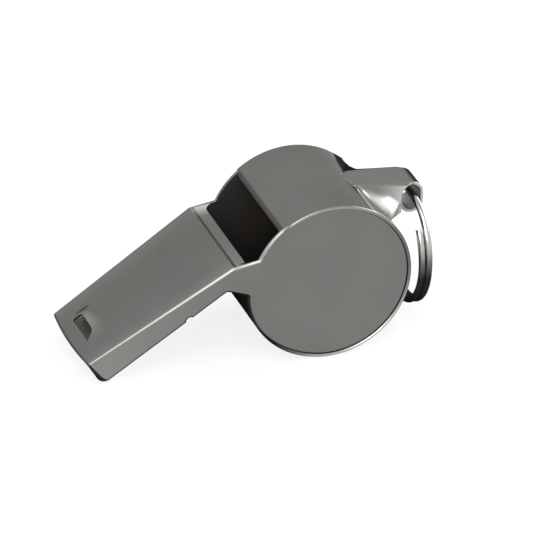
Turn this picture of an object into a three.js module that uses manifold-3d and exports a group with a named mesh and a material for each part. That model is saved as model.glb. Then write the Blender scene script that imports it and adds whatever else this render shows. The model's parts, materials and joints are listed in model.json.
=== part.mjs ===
// A pressed metal pea whistle, in millimetres, +Z up.
// Four soldered sheets make the barrel and the mouthpiece, a folded lug on the barrel's back
// carries a split ring, and a cork pea lies loose in the barrel.
// The sheets and the lug are drawn in the whistle's own frame: the barrel's axis is Y, the
// mouthpiece points to -X and its top is level. The whistle is then tipped, nose down, as it
// rests on a table. The ring and the pea are placed in the tipped whistle, hanging and lying.

import * as THREE from 'three';
import { mergeVertices } from 'three/addons/utils/BufferGeometryUtils.js';
import Module from 'manifold-3d';

// Sheets and joints
const sheetThickness = 0.5;
const jointGap = 0.3; // solder joint between two sheets
const rimHeight = 0.3; // how far the barrel's rims stand proud of the cheeks

// Barrel
const barrelDiameter = 24.4;
const barrelWidth = 20;
const bladeAngle = 98; // the sounding edge, in degrees round the barrel from +X
const windowNeckAngle = 123.4; // where the window's side meets the neck's top edge
const neckFootAngle = 150; // where the strip leaves the round of the barrel

// Mouthpiece
const topDrop = 0.46; // from the barrel's crown down to the mouthpiece's top face
const creaseReach = 10.4; // from the barrel's axis to the crease and the walls' bend
const mouthpieceLength = 24.6; // from the crease to the tip, along the walls
const tipWidth = 15.4;
const tipHeight = 4.55;
const tipBulge = 0.75; // rise of the tip's round front edge
const tipCornerRadius = 1.2;
const floorSetback = 0.8; // the floor ends behind the top plate
const throatReach = 13; // from the barrel's axis to the floor's bend
const throatHeight = 2.74;
const rampRun = 1.95; // the edge that is bent down towards the window
const rampDrop = 1.17;

// Locating notches in the floor's edges
const notchReach = 19.7; // from the barrel's axis
const notchRadius = 0.7;

// Lanced bite grip near the tip: a slot, and a half-round hood pressed up behind it
const gripSetback = 2.4; // from the tip's bulged front to the slot
const gripSlotLength = 1.6;
const gripSlotWidth = 6.4;
const gripHoodLength = 1.95;
const gripHoodWidth = 8.2;
const gripRise = 0.9;
const gripLap = 0.3; // how far the hood's blank reaches into the plate round it

// Ring lug: a hood with a rolled eye
const lugSheet = 0.45;
const lugWidth = 4.8; // roof and eye, along Y
const lugFlangeAngle = 30.5; // the straight upper edge of the foot, round the barrel
const lugFootAngle = 28; // where the roof leaves the barrel
const lugRimAngle = 13.3; // where the wings reach the barrel's rims
const lugLapAngle = 1; // how far the foot reaches under the wings, round the barrel
const eyeStandoff = 4.77; // from the barrel's surface to the eye's centre
const eyeAngle = -2.8; // round the barrel, in degrees from +X
const eyeBore = 2.7;
const eyeWrapAngle = 235; // how far the roof is rolled round the eye
const wingSetback = 2; // from the eye's top back to the wings' free edges
const wingDepth = 3.9; // height of the wings' free edges
const wingFlare = 1.6; // how far the wings' free edges lean outwards

// Split ring
const wireDiameter = 1;
const coilGap = 0.42;
const ringMeanDiameter = 17.4;
const ringEndAngle = 53; // from the eye to each end of the wire, in degrees
const ringStepAngle = 45; // half of the stretch where the wire steps over to the other coil
const ringSeat = 0.1; // how far the wire hangs below the eye's centre

// Pea
const peaDiameter = 12;
const peaClearance = 0.3;

// Fineness of the facets
const roundStepAngle = 5;
const cornerStepAngle = 30; // on small rounds
const patchSteps = 6;
const ringSteps = 48;
const wireSides = 8;
const gapSamples = 400;
const margin = 2; // how far a blank reaches past the outline that cuts it

const deg = THREE.MathUtils.degToRad;
const barrelRadius = barrelDiameter / 2;
const halfWidth = barrelWidth / 2;
const wallFace = halfWidth - rimHeight;
const topHeight = barrelRadius - topDrop;
const bendX = -creaseReach;
const tipX = bendX - mouthpieceLength;
const wallTaper = (wallFace - tipWidth / 2) / mouthpieceLength;
const origin = new THREE.Vector2(0, 0);

const wasm = await Module();
wasm.setup();

// Outlines, as lists of points

function polar(radius, angle) {
  return new THREE.Vector2(radius * Math.cos(deg(angle)), radius * Math.sin(deg(angle)));
}

function arc(centre, radius, from, to, step = roundStepAngle) {
  const count = Math.max(2, Math.ceil(Math.abs(to - from) / step));
  const points = [];
  for (let i = 0; i <= count; i += 1) {
    points.push(polar(radius, from + ((to - from) * i) / count).add(centre));
  }
  return points;
}

// The path moved to its right-hand side, with mitred corners
function offsetPath(points, distance) {
  const normals = [];
  for (let i = 0; i + 1 < points.length; i += 1) {
    const along = points[i + 1].clone().sub(points[i]).normalize();
    normals.push(new THREE.Vector2(along.y, -along.x));
  }
  return points.map((point, i) => {
    const before = normals[Math.max(i - 1, 0)];
    const after = normals[Math.min(i, normals.length - 1)];
    const mitre = before.clone().add(after);
    return mitre.multiplyScalar(distance / (1 + before.dot(after))).add(point);
  });
}

function atX(from, to, x) {
  return from.clone().lerp(to, (x - from.x) / (to.x - from.x));
}

// A sheet's section: its outer path and the same path one thickness further in
function sheetSection(path, thickness) {
  return [...path, ...offsetPath(path, thickness).reverse()];
}

// Half the plan width at x of what lies a given depth inside the walls' outer faces
function planHalf(x, inside) {
  return wallFace - inside + wallTaper * Math.min(0, x - bendX);
}

// The round front edge, from the left wall to the right wall
function tipArc(sideX, inside) {
  const half = planHalf(sideX, inside);
  const radius = (half * half + tipBulge * tipBulge) / (2 * tipBulge);
  const centre = new THREE.Vector2(sideX - tipBulge + radius, 0);
  const spread = THREE.MathUtils.radToDeg(Math.asin(half / radius));
  return arc(centre, radius, 180 + spread, 180 - spread, spread / patchSteps);
}

// Solids

function solid(geometry) {
  geometry.deleteAttribute('normal');
  geometry.deleteAttribute('uv');
  const merged = mergeVertices(geometry);
  const vertProperties = merged.attributes.position.array;
  const triVerts = new Uint32Array(merged.index.array);
  return new wasm.Manifold(new wasm.Mesh({ numProp: 3, vertProperties, triVerts }));
}

function geometryOf(body) {
  const { vertProperties, triVerts } = body.getMesh();
  const geometry = new THREE.BufferGeometry();
  geometry.setAttribute('position', new THREE.BufferAttribute(vertProperties, 3));
  geometry.setIndex(new THREE.BufferAttribute(triVerts, 1));
  geometry.computeVertexNormals();
  return geometry;
}

// An outline in X and Z, carried across the whistle between two values of Y
function across(outline, low, high) {
  const options = { depth: high - low, bevelEnabled: false };
  const geometry = new THREE.ExtrudeGeometry(new THREE.Shape(outline), options);
  geometry.rotateX(Math.PI / 2);
  geometry.translate(0, high, 0);
  return solid(geometry);
}

// An outline in X and Y, raised between two heights
function raised(outline, low, high) {
  const options = { depth: high - low, bevelEnabled: false };
  const geometry = new THREE.ExtrudeGeometry(new THREE.Shape(outline), options);
  geometry.translate(0, 0, low);
  return solid(geometry);
}

// A curved sheet between two grids of points, front and back, as a closed body
function patch(columns, rows, front, back) {
  const positions = [];
  const index = [];
  const layer = (columns + 1) * (rows + 1);
  for (const face of [front, back]) {
    for (let i = 0; i <= columns; i += 1) {
      for (let j = 0; j <= rows; j += 1) {
        positions.push(...face(i / columns, j / rows).toArray());
      }
    }
  }
  const at = (i, j) => i * (rows + 1) + j;
  const quad = (a, b, c, d) => index.push(a, b, c, a, c, d);
  for (let i = 0; i < columns; i += 1) {
    for (let j = 0; j < rows; j += 1) {
      quad(at(i, j), at(i + 1, j), at(i + 1, j + 1), at(i, j + 1));
      quad(layer + at(i, j), layer + at(i, j + 1), layer + at(i + 1, j + 1), layer + at(i + 1, j));
    }
    quad(at(i, 0), layer + at(i, 0), layer + at(i + 1, 0), at(i + 1, 0));
    quad(at(i, rows), at(i + 1, rows), layer + at(i + 1, rows), layer + at(i, rows));
  }
  for (let j = 0; j < rows; j += 1) {
    quad(at(0, j), at(0, j + 1), layer + at(0, j + 1), layer + at(0, j));
    quad(at(columns, j), layer + at(columns, j), layer + at(columns, j + 1), at(columns, j + 1));
  }
  const geometry = new THREE.BufferGeometry();
  geometry.setAttribute('position', new THREE.Float32BufferAttribute(positions, 3));
  geometry.setIndex(index);
  return solid(geometry);
}

function piece(name, geometry, colour, roughness, metalness) {
  const material = new THREE.MeshStandardMaterial({ color: colour, roughness, metalness });
  const mesh = new THREE.Mesh(geometry, material);
  mesh.name = name;
  return mesh;
}

function polished(name, geometry) {
  return piece(name, geometry, 0x8f8e8b, 0.15, 1);
}

// Barrel strip: the round of the barrel from the blade, the neck's bend and the windway's floor

const throat = new THREE.Vector2(-throatReach, topHeight - throatHeight);
const floorEnd = atX(throat, new THREE.Vector2(tipX, topHeight - tipHeight), tipX - margin);

function stripPath(startAngle) {
  const round = arc(origin, barrelRadius, startAngle, neckFootAngle - 360);
  return [...round, throat, floorEnd];
}

function stripPlan() {
  const front = tipArc(tipX + floorSetback, 0);
  const side = barrelRadius + margin;
  const outline = [
    new THREE.Vector2(side, halfWidth),
    new THREE.Vector2(side, -halfWidth),
    new THREE.Vector2(-barrelRadius, -halfWidth),
    ...front,
    new THREE.Vector2(-barrelRadius, halfWidth),
  ];
  return raised(outline, -side, side);
}

function notches() {
  const half = planHalf(-notchReach, 0);
  const bodies = [-half, half].map((y) => {
    const centre = new THREE.Vector2(-notchReach, y);
    const outline = arc(centre, notchRadius, 0, 360 - cornerStepAngle, cornerStepAngle);
    return raised(outline, 0, topHeight);
  });
  return bodies[0].add(bodies[1]);
}

function barrelStrip() {
  const section = sheetSection(stripPath(bladeAngle), sheetThickness);
  const bent = across(section, -halfWidth, halfWidth);
  return bent.intersect(stripPlan()).subtract(notches());
}

// Side plate: cheek, neck and wall in one sheet, bent at the crease so that the walls taper

function sidePlateOutline() {
  const bladeGap = THREE.MathUtils.radToDeg(jointGap / barrelRadius);
  const windowStart = bladeAngle + bladeGap;
  const seat = offsetPath(stripPath(windowStart), sheetThickness + jointGap);
  const seatEnd = seat.pop();
  const corner = atX(seat.at(-1), seatEnd, tipX + tipCornerRadius);
  const centre = corner.clone().add(polar(tipCornerRadius, 90));
  const round = arc(centre, tipCornerRadius, 270, 180, cornerStepAngle);
  const neckTop = new THREE.Vector2(bendX, topHeight);
  return [
    ...seat,
    ...round,
    new THREE.Vector2(tipX, topHeight),
    neckTop,
    ...arc(origin, barrelRadius, windowNeckAngle, windowStart),
  ];
}

function sidePlate(side) {
  const back = barrelRadius + margin;
  const front = tipX - margin;
  const depths = [0, sheetThickness];
  const [outer, inner] = depths.map((depth) => [
    new THREE.Vector2(front, side * planHalf(front, depth)),
    new THREE.Vector2(bendX, side * planHalf(bendX, depth)),
    new THREE.Vector2(back, side * planHalf(back, depth)),
  ]);
  const slab = raised([...outer, ...inner.reverse()], -back, back);
  return slab.intersect(across(sidePlateOutline(), -halfWidth, halfWidth));
}

// Mouthpiece top: flat plate between the walls, bent down at the window, with the bite grip

const slotX = tipX - tipBulge + gripSetback;
const hoodX = slotX + gripSlotLength;

function hoodRise(x, y) {
  const along = (x - hoodX) / gripHoodLength;
  const aside = y / (gripHoodWidth / 2);
  return Math.max(0, 1 - along * along - aside * aside);
}

function gripHood() {
  const half = gripHoodWidth / 2 + gripLap;
  const face = (drop) => (u, v) => {
    const y = THREE.MathUtils.lerp(-half, half, u);
    const bow = Math.sqrt(hoodRise(hoodX, y));
    const x = hoodX + v * (gripHoodLength * bow + gripLap);
    return new THREE.Vector3(x, y, topHeight - drop + gripRise * hoodRise(x, y));
  };
  return patch(2 * patchSteps, patchSteps, face(sheetThickness), face(0));
}

function gripHole() {
  const slotHalf = gripSlotWidth / 2;
  const round = arc(origin, 1, -90, 90, 15).map((point) => new THREE.Vector2(
    hoodX + point.x * gripHoodLength,
    (point.y * gripHoodWidth) / 2,
  ));
  const outline = [
    new THREE.Vector2(slotX, slotHalf),
    new THREE.Vector2(slotX, -slotHalf),
    new THREE.Vector2(hoodX, -slotHalf),
    ...round,
    new THREE.Vector2(hoodX, slotHalf),
  ];
  return raised(outline, topHeight - margin, topHeight + margin);
}

function mouthpieceTop() {
  const rampEnd = new THREE.Vector2(bendX + rampRun, topHeight - rampDrop);
  const face = [
    new THREE.Vector2(tipX - margin, topHeight),
    new THREE.Vector2(bendX, topHeight),
    rampEnd,
  ];
  const inside = sheetThickness + jointGap;
  const half = planHalf(bendX, inside);
  const plan = [
    ...tipArc(tipX, inside),
    new THREE.Vector2(bendX, half),
    new THREE.Vector2(0, half),
    new THREE.Vector2(0, -half),
    new THREE.Vector2(bendX, -half),
  ];
  const bent = across(sheetSection(face, sheetThickness), -halfWidth, halfWidth);
  const cut = bent.intersect(raised(plan, 0, barrelRadius + margin));
  return cut.subtract(gripHole()).add(gripHood());
}

// Ring lug: roof rolled into the eye, a foot on the barrel and two wings flared to its rims

const eye = polar(barrelRadius + eyeStandoff, eyeAngle);
const eyeRadius = eyeBore / 2 + lugSheet;
const lugSeat = barrelRadius + jointGap;
const lugSunk = barrelRadius - margin / 2; // the blanks start inside the seat that trims them
const roofFoot = polar(lugSeat + lugSheet, lugFootAngle);
const toEye = eye.clone().sub(roofFoot);
const roofAngle = THREE.MathUtils.radToDeg(toEye.angle() + Math.asin(eyeRadius / toEye.length()));
const roofAlong = polar(1, roofAngle);
const eyeTop = polar(eyeRadius, roofAngle + 90).add(eye);

function lugRoof() {
  const roll = arc(eye, eyeRadius, roofAngle + 90, roofAngle + 90 - eyeWrapAngle, 2 * roundStepAngle);
  return across(sheetSection([roofFoot, ...roll], lugSheet), -lugWidth / 2, lugWidth / 2);
}

function lugFoot() {
  const edge = (y) => {
    const out = Math.max(0, Math.abs(y) - lugWidth / 2) / (halfWidth - lugWidth / 2);
    return THREE.MathUtils.lerp(lugFootAngle, lugRimAngle, out) - lugLapAngle;
  };
  const face = (radius) => (u, v) => {
    const y = THREE.MathUtils.lerp(-halfWidth, halfWidth, u);
    const place = polar(radius, THREE.MathUtils.lerp(edge(y), lugFlangeAngle, v));
    return new THREE.Vector3(place.x, y, place.y);
  };
  return patch(4 * patchSteps, patchSteps, face(lugSeat + lugSheet), face(lugSunk));
}

function lugWing(side) {
  const roofEnd = eyeTop.clone().addScaledVector(roofAlong, -wingSetback);
  const lowEnd = roofEnd.clone().add(polar(wingDepth, roofAngle - 90));
  const footTop = polar(lugSunk, lugFootAngle);
  const footLow = polar(lugSunk, lugRimAngle);
  const outside = (lugWidth + lugSheet) / 2;
  const face = (inside) => (u, v) => {
    const top = footTop.clone().lerp(roofEnd, u);
    const low = footLow.clone().lerp(lowEnd, u);
    const place = top.lerp(low, v);
    const flare = THREE.MathUtils.lerp(halfWidth - outside, wingFlare, u) * v;
    return new THREE.Vector3(place.x, side * (outside + flare - inside), place.y);
  };
  const [front, back] = side < 0 ? [face(lugSheet), face(0)] : [face(0), face(lugSheet)];
  return patch(patchSteps, patchSteps, front, back);
}

function ringLug() {
  const seat = across(arc(origin, lugSeat, 0, 360 - roundStepAngle), -2 * halfWidth, 2 * halfWidth);
  const hood = lugRoof().add(lugWing(-1)).add(lugWing(1)).add(lugFoot());
  return hood.subtract(seat);
}

// Split ring: one wire in two coils, about the eye's centre

class SplitRingCurve extends THREE.Curve {
  getPoint(t, target = new THREE.Vector3()) {
    const angle = THREE.MathUtils.lerp(ringEndAngle, 720 - ringEndAngle, t);
    const step = THREE.MathUtils.smoothstep(angle, 360 - ringStepAngle, 360 + ringStepAngle);
    const mean = ringMeanDiameter / 2;
    const round = polar(mean, angle);
    const aside = (step - 0.5) * (wireDiameter + coilGap);
    return target.set(aside, -round.y, round.x - mean - ringSeat);
  }
}

function leastGap(curve) {
  const points = curve.getSpacedPoints(gapSamples);
  const apart = Math.ceil(gapSamples / 4);
  let least = Infinity;
  for (let i = 0; i < points.length; i += 1) {
    for (let j = i + apart; j < points.length; j += 1) {
      least = Math.min(least, points[i].distanceTo(points[j]));
    }
  }
  return least - wireDiameter;
}

function splitRing() {
  const curve = new SplitRingCurve();
  console.log(`split ring: least gap to itself ${leastGap(curve).toFixed(2)} mm`);
  const section = new THREE.Shape(arc(origin, wireDiameter / 2, 0, 360 - 360 / wireSides, 360 / wireSides));
  const options = { steps: ringSteps, extrudePath: curve, bevelEnabled: false };
  return geometryOf(solid(new THREE.ExtrudeGeometry(section, options)));
}

// Pea: a ball that lies at the bottom of the barrel

const peaOrbit = barrelRadius - sheetThickness - peaClearance - peaDiameter / 2;

// The whistle rests on the round of the barrel and on the front edge of its floor
const restX = tipX + floorSetback - tipBulge;
const rest = atX(throat, floorEnd, restX);
const tilt = Math.atan2(rest.y, -rest.x) + Math.asin(barrelRadius / rest.length());

const shell = new THREE.Group();
shell.rotation.y = -tilt;
shell.add(
  polished('side_plate_left', geometryOf(sidePlate(-1))),
  polished('side_plate_right', geometryOf(sidePlate(1))),
  polished('mouthpiece_top', geometryOf(mouthpieceTop())),
  polished('barrel_strip', geometryOf(barrelStrip())),
  polished('ring_lug', geometryOf(ringLug())),
);

const ring = polished('split_ring', splitRing());
const eyePlace = eye.clone().rotateAround(origin, tilt);
ring.position.set(eyePlace.x, 0, eyePlace.y);

const ball = new THREE.SphereGeometry(peaDiameter / 2, 24, 16);
const pea = piece('pea', geometryOf(solid(ball)), 0xa9825a, 0.9, 0);
pea.position.set(0, 0, -peaOrbit);

// The origin is the middle of the whole whistle's box, on the table
const whistle = new THREE.Group();
whistle.add(shell, ring, pea);
const box = new THREE.Box3().setFromObject(whistle, true);
whistle.position.set(-(box.min.x + box.max.x) / 2, -(box.min.y + box.max.y) / 2, -box.min.z);
whistle.updateMatrixWorld(true);

export default whistle;
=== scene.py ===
"""A polished metal pea whistle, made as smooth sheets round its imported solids.

The sheets are drawn in the whistle's own frame, in metres: X runs from the mouthpiece to the
back, Y along the barrel's axis and Z up from the level mouthpiece. The origin there is the
barrel's axis. to_part tips the whistle as it rests on the table and moves it into the part's frame.
"""

import json
import math

import bmesh
import bpy
import numpy as np
from bpy.props import FloatProperty, FloatVectorProperty, IntProperty, PointerProperty
from bpy.types import Operator, Panel, PropertyGroup
from mathutils import Matrix, Vector


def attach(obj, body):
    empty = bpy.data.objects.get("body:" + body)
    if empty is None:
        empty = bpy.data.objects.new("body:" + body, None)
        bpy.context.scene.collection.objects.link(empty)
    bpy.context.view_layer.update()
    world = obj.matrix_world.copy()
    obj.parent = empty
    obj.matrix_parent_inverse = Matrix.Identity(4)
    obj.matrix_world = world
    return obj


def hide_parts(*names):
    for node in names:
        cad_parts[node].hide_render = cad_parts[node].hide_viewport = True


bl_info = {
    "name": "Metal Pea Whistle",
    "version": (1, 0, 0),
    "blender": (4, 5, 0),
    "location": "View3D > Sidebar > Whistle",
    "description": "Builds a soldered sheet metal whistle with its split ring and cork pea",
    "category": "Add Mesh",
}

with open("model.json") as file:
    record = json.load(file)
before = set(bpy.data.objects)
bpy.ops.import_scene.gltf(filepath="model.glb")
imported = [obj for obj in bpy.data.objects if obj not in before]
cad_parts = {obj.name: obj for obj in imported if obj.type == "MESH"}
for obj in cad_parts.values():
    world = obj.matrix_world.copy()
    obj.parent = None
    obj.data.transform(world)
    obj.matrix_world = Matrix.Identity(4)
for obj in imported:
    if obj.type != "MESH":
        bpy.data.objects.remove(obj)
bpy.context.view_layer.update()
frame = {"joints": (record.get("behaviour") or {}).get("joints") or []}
places = {joint["name"]: np.array(joint["pos_m"]) for joint in frame["joints"]}

MM = 0.001
EDGE_SEGMENTS = 4
EDGE_LIMIT = math.radians(35)
ROUND_POINTS = 151
BEND_STEPS = 6
HOOD_ROWS = 15
CURL_STEPS = 20
END_RINGS = 4

# The strip's second column from each edge, in roundings of the edge
EDGE_COLUMN = 1.6

# Rows of the lug's flange, from 1 at its feathered edge towards 0 at the foot line
FLANGE_ROWS = (1, 0.92, 0.75, 0.5, 0.25, 0.08)

# Rows of the roll where its painted shade begins, is full, starts to fade and ends
ROLL_ROWS = (0, 2, 14, 19)

# Painted light down the ring: the fall from -1 at the eye to 1 at the bottom, and the painted light there,
# highlights near the eye and shade at the bottom
RING_PAINTED_LIGHT = ((-1, 0.6), (-0.85, 0.5), (-0.65, 0.95), (-0.35, 0.9), (-0.1, -0.1), (0.2, -0.85))

# Metals: their colour and tint among the finishes, their roughness and their polishing lines per metre
METALS = {
    "sheet_finish": ("sheet", "edge_tint", 0.16, 9000),
    "lug_finish": ("lug", "edge_tint", 0.2, 7000),
    "wire_finish": ("wire", "wire_tint", 0.12, 12000),
}

# Lamps: the way to them from the target, their two sizes in metres and their power in watts
LAMPS = {
    "key_lamp": ((-0.42, -0.57, 0.70), 0.36, 0.36, 1.3),
    "side_lamp": ((0.9, 0.33, 0.36), 0.34, 0.28, 1.5),
}


# Properties

def length(name, millimetres, description):
    """A size that is written in millimetres and kept in metres."""
    return FloatProperty(
        name=name, description=description, default=millimetres * MM, precision=5, unit="LENGTH")


def angle(name, degrees, description):
    """An angle that is written in degrees."""
    return FloatProperty(
        name=name, description=description, default=math.radians(degrees), subtype="ANGLE")


def share(name, default, description):
    """A number without a unit."""
    return FloatProperty(name=name, description=description, default=default, precision=3)


def colour(name, default, description):
    """A colour in linear red, green and blue."""
    return FloatVectorProperty(
        name=name, description=description, default=default, size=3, min=0, max=1, subtype="COLOR")


class ShellSizes(PropertyGroup):
    """Sizes of the four soldered sheets."""

    sheet: length("Sheet", 0.5, "Thickness of the sheets")
    seam: length("Seam", 0.01, "Solder film between two sheets")
    lap: length("Lap", 0.12, "How far the solder draws one sheet's edge into the next")
    strip_edge: length("Strip edge", 0.19, "Rounding of the strip's edges")
    plate_edge: length("Plate edge", 0.4, "Rounding of the near plate's polished upper edges")
    far_edge: length("Far edge", 0.12, "Rounding of the far plate's upper edges")
    raw_edge: length("Raw edge", 0.41, "Rounding of the side plates' front and lower edges")
    raw_lean: share("Raw lean", 1.3, "What the rounding gains along the walls at their front corners")
    seat_edge: length("Seat edge", 0.28, "Rounding of the cheeks where they meet the rims")
    inner_edge: length("Inner edge", 0.08, "Rounding of the side plates' inner edges")
    top_edge: length("Top edge", 0.05, "Rounding of the top plate's edges")
    soft: length("Soft", 0.4, "Length of the soft stretches beside the walls' bend and front")
    crown: length("Crown", 0.4, "Rise of the top plate's middle over its long edges")
    rim: length("Rim", 0.3, "How far the barrel's rims stand proud of the cheeks")
    diameter: length("Barrel diameter", 24.4, "Outer diameter of the barrel")
    width: length("Barrel width", 20, "Length of the barrel along its axis")
    blade: angle("Blade", 99.6, "Place of the sounding edge round the barrel")
    window: angle("Window", 123.4, "Where the window's side meets the neck's top edge")
    neck: angle("Neck foot", 150, "Where the strip leaves the round of the barrel")
    swell: length("Swell", 0.45, "How far the barrel's round opens out towards the neck")
    swell_from: angle("Swell from", -132, "Where the round begins to open out, round the barrel")
    swell_full: angle("Swell full", -197, "Where the round has opened out, round the barrel")
    emerge: angle("Emerge", 6, "Turn over which the near rim comes out beside the sounding edge")
    fade: angle("Fade", 60, "Turn over which the rims go in between the plates before the neck")
    foot_bend: length("Foot bend", 0.35, "Radius of the strip's bend at the barrel")
    throat_bend: length("Throat bend", 0.5, "Radius of the strip's bend under the windway")
    lip_radius: length("Lip radius", 0.9, "Radius of the sounding edge's turned-in lip")
    lip: angle("Lip", 85, "How far the sounding edge's lip is turned in")
    top_drop: length("Top drop", 0.46, "From the barrel's crown down to the mouthpiece's top face")
    crease: length("Crease", 10.4, "From the barrel's axis to the crease of the top plate")
    crease_bend: length("Crease bend", 0.7, "Radius of the top plate's crease")
    mouthpiece: length("Mouthpiece", 24.93, "From the crease to the tip")
    tip_width: length("Tip width", 15.8, "Width of the mouthpiece at its tip")
    tip_height: length("Tip height", 4.4, "Height of the mouthpiece at its tip")
    tip_bulge: length("Tip bulge", 0.42, "Rise of the tip's round front edge")
    tip_corner: length("Tip corner", 1.2, "Radius of the walls' lower front corners")
    floor_setback: length("Floor setback", 0.8, "How far the floor ends behind the top plate")
    throat: length("Throat", 13, "From the barrel's axis to the floor's bend")
    throat_height: length("Throat height", 2.9, "Height of the mouthpiece at the floor's bend")
    ramp_run: length("Ramp run", 1.95, "Level run of the edge bent down towards the window")
    ramp_drop: length("Ramp drop", 1.17, "Drop of the edge bent down to the window")
    # Painted light round the barrel: where the painted highlight on the rims is brightest, where painted
    # shade dulls the rims and darkens the seam beside the cheeks, and where painted shade fills the corner
    # below the neck
    rim_sheen_turn: angle("Rub", -88, "Where the rims are rubbed brightest, round the barrel")
    dull: angle("Dull", -17.19, "Where the rims are dullest, round the barrel")
    seam_shade: angle("Groove", -51.57, "Where the seam along the cheeks is darkest, round the barrel")
    shade_from: angle("Raw from", -136, "Where the raw corner below the neck begins, round the barrel")
    shade_full: angle("Raw full", -166, "Where the corner below the neck is fully raw, round the barrel")
    notch: length("Notch", 19.7, "From the barrel's axis to the notches in the floor's edges")
    notch_reach: length("Notch reach", 0.9, "Half the length of a notch along the floor's edge")
    notch_depth: length("Notch depth", 1, "Depth of a notch across the floor's edge")
    notch_half: length("Notch half", 0.6, "Half the length of the round notch in the wall's lower edge")
    notch_rise: length("Notch rise", 0.36, "Height of the round notch in the wall's lower edge")
    fillet: length("Fillet", 0.35, "Height of the solder fillets at the ends of the ramp")
    fillet_width: length("Fillet width", 0.9, "Width of the solder fillets")
    fillet_reach: length("Fillet reach", 1.2, "How far the fillets run on along the walls")
    # Where the painted highlight on the ramp's far end begins and where it is brightest
    fillet_slope: share("Fillet slope", 0.42, "Drop of the fillets for their run along the walls")
    ramp_far_highlight: share("Ramp far", 0.7, "Where the ramp's bright far end begins, in half widths")
    ramp_highlight_end: share("Ramp end", 0.95, "Where the ramp's far end is brightest, in half widths")
    score_width: length("Score width", 0.5, "Width of the scored line along the crease")
    score_depth: length("Score depth", 0.1, "Depth of the scored line along the crease")
    grip_setback: length("Grip setback", 2.4, "From the tip's front to the bite grip's slot")
    grip_slot: length("Grip slot", 1.6, "Length of the bite grip's slot")
    grip_slot_width: length("Grip slot width", 6.5, "Width of the bite grip's slot")
    grip_hood: length("Grip hood", 1.95, "Length of the half-round hood behind the slot")
    grip_hood_width: length("Grip hood width", 8.2, "Width of the half-round hood")
    grip_rise: length("Grip rise", 0.9, "Height of the hood's lip over the plate")
    # The painted shade on the far flank of the bite grip's hood
    flank: length("Flank", 3.936, "From the hood's middle to its dark far flank")
    flank_shade_half: length("Flank half", 0.25, "Half the width of the dark flank")
    flank_shade_shift: length("Flank shift", 0.32, "From the hood's lip back to the dark flank's middle")
    flank_shade_full: length("Flank full", 0.384, "Half the length of the flank's darkest stretch")
    flank_shade_reach: length("Flank reach", 1.344, "Half the length of the whole dark flank")


class LugSizes(PropertyGroup):
    """Sizes of the folded lug that carries the ring."""

    sheet: length("Sheet", 0.45, "Thickness of the lug's sheet")
    edge: length("Edge radius", 0.1, "Rounding of the lug's edges")
    fold: length("Fold", 0.4, "Width of the folds between wings and roof at the barrel")
    foot_width: length("Foot width", 4.6, "Width of the roof where it leaves the barrel")
    neck_width: length("Neck width", 6.2, "Width of the roof beside the eye")
    low_width: length("Low width", 8.4, "From wing to wing at the lower ends of their free edges")
    eye_width: length("Eye width", 4.8, "Length of the rolled eye")
    flange: angle("Flange", 28.6, "Upper edge of the foot, round the barrel")
    tongue: angle("Tongue", 8, "How much further up the foot reaches in its middle")
    foot: angle("Foot", 28, "Where the roof leaves the barrel")
    rim_foot: angle("Rim foot", 13.3, "Where the wings reach the barrel's rims")
    standoff: length("Eye standoff", 4.77, "From the barrel's surface to the eye's centre")
    eye_angle: angle("Eye angle", -2.8, "Place of the eye round the barrel")
    bore: length("Eye bore", 2.69, "Bore of the rolled eye")
    tail: length("Eye tail", 1.3, "How far the eye is drawn out downwards")
    setback: length("Wing setback", 2, "From the eye's top back to the wings' free edges")
    depth: length("Wing depth", 3.9, "Height of the wings' free edges")
    hollow: length("Wing hollow", 0.2, "How far the wings sink in beside the barrel")
    sag: length("Wing sag", 0.35, "How far the wings' lower edges sag towards the barrel")
    feather: length("Feather", 0.04, "What the near flange's upper edge stands off the barrel")
    sunk: length("Sunk edge", 0.06, "How far the solder hides the rest of the flange's edge")


class RingSizes(PropertyGroup):
    """Sizes of the split ring."""

    wire: length("Wire", 1.02, "Diameter of the wire")
    pitch: length("Pitch", 1.04, "From the middle of one coil to the next")
    mean: length("Mean diameter", 17.4, "Diameter of the wire's centre line")
    end: angle("Wire end", 53, "From the eye to each end of the wire")
    step: angle("Step", 45, "Half of the stretch where the wire steps to the other coil")
    seat: length("Seat", 0.1, "How far the wire hangs below the eye's centre")
    burr: length("End rounding", 0.07, "Rounding of the cut ends")


class PeaSizes(PropertyGroup):
    """Sizes of the cork ball."""

    diameter: length("Diameter", 12, "Diameter of the ball")
    clearance: length("Clearance", 0.3, "Gap to the barrel's inner face")
    lump: length("Lumps", 0.06, "Unevenness of the ground cork")


class Finishes(PropertyGroup):
    """Colours of the finishes."""

    sheet: colour("Sheet", (0.176, 0.173, 0.166), "Polished sheet of the body")
    lug: colour("Lug", (0.2, 0.197, 0.19), "Polished sheet of the lug")
    wire: colour("Wire", (0.19, 0.187, 0.182), "Bright wire of the ring")
    edge_tint: colour("Edge tint", (0.58, 0.58, 0.57), "Reflection of the sheet at a glancing angle")
    wire_tint: colour("Wire tint", (0.12, 0.12, 0.118), "Reflection of the wire at a glancing angle")
    # Colour of the painted highlights along edges, rims and wings
    bright: colour("Bright edge", (0.55, 0.545, 0.53), "Metal rubbed bright along edges")
    # Near black of the painted shade in corners, on cut edges and on far sides
    painted_shade: colour("Raw metal", (0.012, 0.012, 0.011), "Dark unpolished metal in corners and cut edges")
    cork: colour("Cork", (0.36, 0.19, 0.085), "Ground cork")
    cork_dark: colour("Cork grain", (0.11, 0.045, 0.018), "Dark grain in the cork")


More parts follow.
